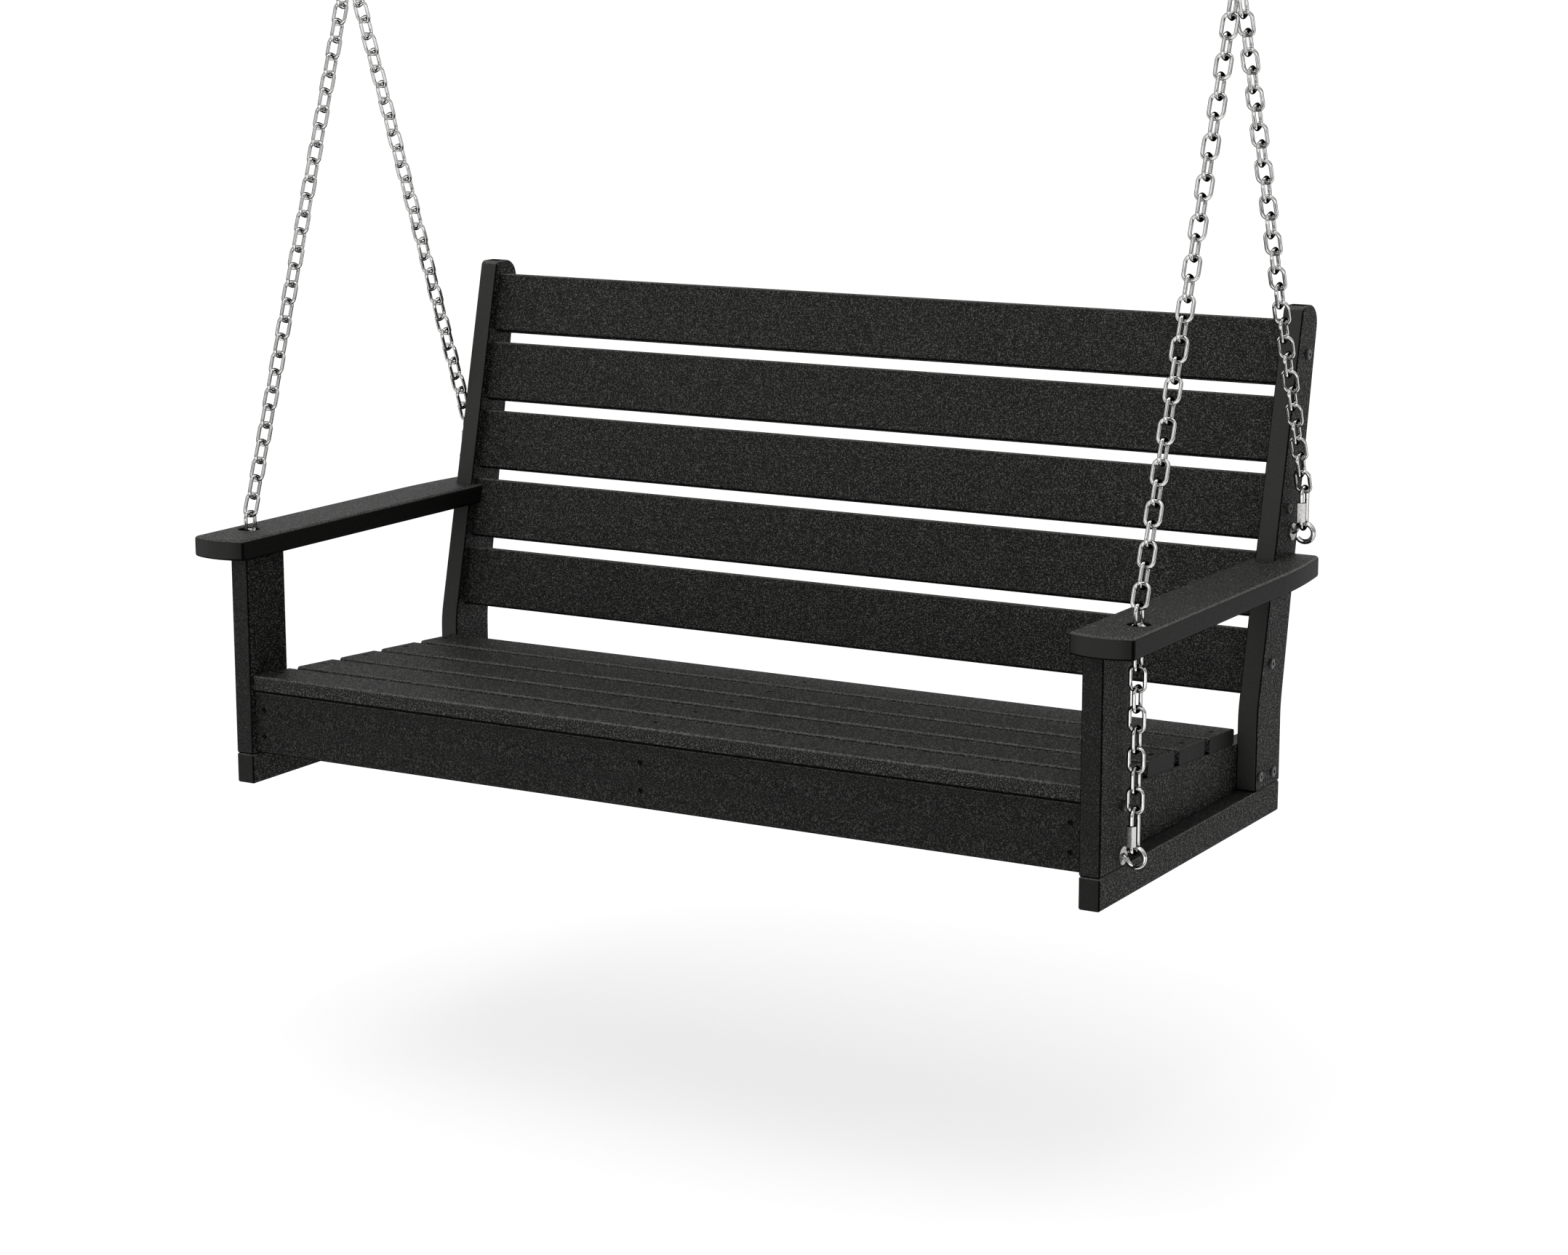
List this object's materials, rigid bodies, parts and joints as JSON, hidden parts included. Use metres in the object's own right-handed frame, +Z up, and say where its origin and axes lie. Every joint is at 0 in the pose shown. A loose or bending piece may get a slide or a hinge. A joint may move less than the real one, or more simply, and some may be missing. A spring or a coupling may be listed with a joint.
{
  "type": "porch swing",
  "caption": "Hanging slatted porch swing: board side frames, reclined slatted back, flat armrests, and chains that rise through the armrests from eye bolts to ceiling hooks.",
  "frame": {"origin": "on the swing axis, midway between the saddles of the two ceiling hooks", "axes": "+X across the swing to the sitter's left as seen from the front (picture's right), +Y from front to back, +Z up"},
  "size_m": [1.41, 0.705, 1.2778],
  "materials": {
    "lumber": "charcoal plastic lumber with a fine pebbled grain, satin",
    "bright_steel": "polished bright steel",
    "black_steel": "black coated steel"
  },
  "bodies": {
    "ceiling_hooks": {"left_ceiling_hook": "bright_steel", "right_ceiling_hook": "bright_steel"},
    "swing": {"apron_screws": "black_steel", "armrest_screws": "black_steel", "back_slat_1": "lumber", "back_slat_2": "lumber", "back_slat_3": "lumber", "back_slat_4": "lumber", "back_slat_5": "lumber", "back_slat_bolts": "black_steel", "brace_rear_screws": "black_steel", "centre_seat_brace": "lumber", "eye_bolt_nuts": "bright_steel", "eye_bolt_washers": "bright_steel", "front_apron": "lumber", "left_armrest": "lumber", "left_back_upright": "lumber", "left_front_chain": "bright_steel", "left_front_eye_bolt": "bright_steel", "left_front_post": "lumber", "left_front_quick_link": "bright_steel", "left_lower_rail": "lumber", "left_rear_chain": "bright_steel", "left_rear_eye_bolt": "bright_steel", "left_rear_quick_link": "bright_steel", "left_seat_side_rail": "lumber", "left_top_quick_link": "bright_steel", "lower_rail_screws": "black_steel", "rear_seat_rail": "lumber", "right_armrest": "lumber", "right_back_upright": "lumber", "right_front_chain": "bright_steel", "right_front_eye_bolt": "bright_steel", "right_front_post": "lumber", "right_front_quick_link": "bright_steel", "right_lower_rail": "lumber", "right_rear_chain": "bright_steel", "right_rear_eye_bolt": "bright_steel", "right_rear_quick_link": "bright_steel", "right_seat_side_rail": "lumber", "right_top_quick_link": "bright_steel", "seat_rail_bolts": "black_steel", "seat_slat_1": "lumber", "seat_slat_2": "lumber", "seat_slat_3": "lumber", "seat_slat_4": "lumber", "seat_slat_5": "lumber", "seat_slat_screws": "black_steel"},
    "left_front_quick_link_sleeve_body": {"left_front_quick_link_sleeve": "bright_steel"},
    "left_rear_quick_link_sleeve_body": {"left_rear_quick_link_sleeve": "bright_steel"},
    "left_top_quick_link_sleeve_body": {"left_top_quick_link_sleeve": "bright_steel"},
    "right_front_quick_link_sleeve_body": {"right_front_quick_link_sleeve": "bright_steel"},
    "right_rear_quick_link_sleeve_body": {"right_rear_quick_link_sleeve": "bright_steel"},
    "right_top_quick_link_sleeve_body": {"right_top_quick_link_sleeve": "bright_steel"}
  },
  "joints": [
    {"name": "swing_hinge", "type": "hinge", "parent": "ceiling_hooks", "child": "swing", "pos_m": [0, 0, 0], "axis": [1, 0, 0], "range_deg": [-25, 25]},
    {"name": "left_front_sleeve_slide", "type": "slide", "parent": "swing", "child": "left_front_quick_link_sleeve_body", "axis": [0, 0.044, 0.999], "range_m": [0, 0.01]},
    {"name": "left_rear_sleeve_slide", "type": "slide", "parent": "swing", "child": "left_rear_quick_link_sleeve_body", "axis": [0, 0.044, 0.999], "range_m": [0, 0.01]},
    {"name": "left_top_sleeve_slide", "type": "slide", "parent": "swing", "child": "left_top_quick_link_sleeve_body", "axis": [0, 0, 1], "range_m": [0, 0.01]},
    {"name": "right_front_sleeve_slide", "type": "slide", "parent": "swing", "child": "right_front_quick_link_sleeve_body", "axis": [0, 0.044, 0.999], "range_m": [0, 0.01]},
    {"name": "right_rear_sleeve_slide", "type": "slide", "parent": "swing", "child": "right_rear_quick_link_sleeve_body", "axis": [0, 0.044, 0.999], "range_m": [0, 0.01]},
    {"name": "right_top_sleeve_slide", "type": "slide", "parent": "swing", "child": "right_top_quick_link_sleeve_body", "axis": [0, 0, 1], "range_m": [0, 0.01]}
  ]
}
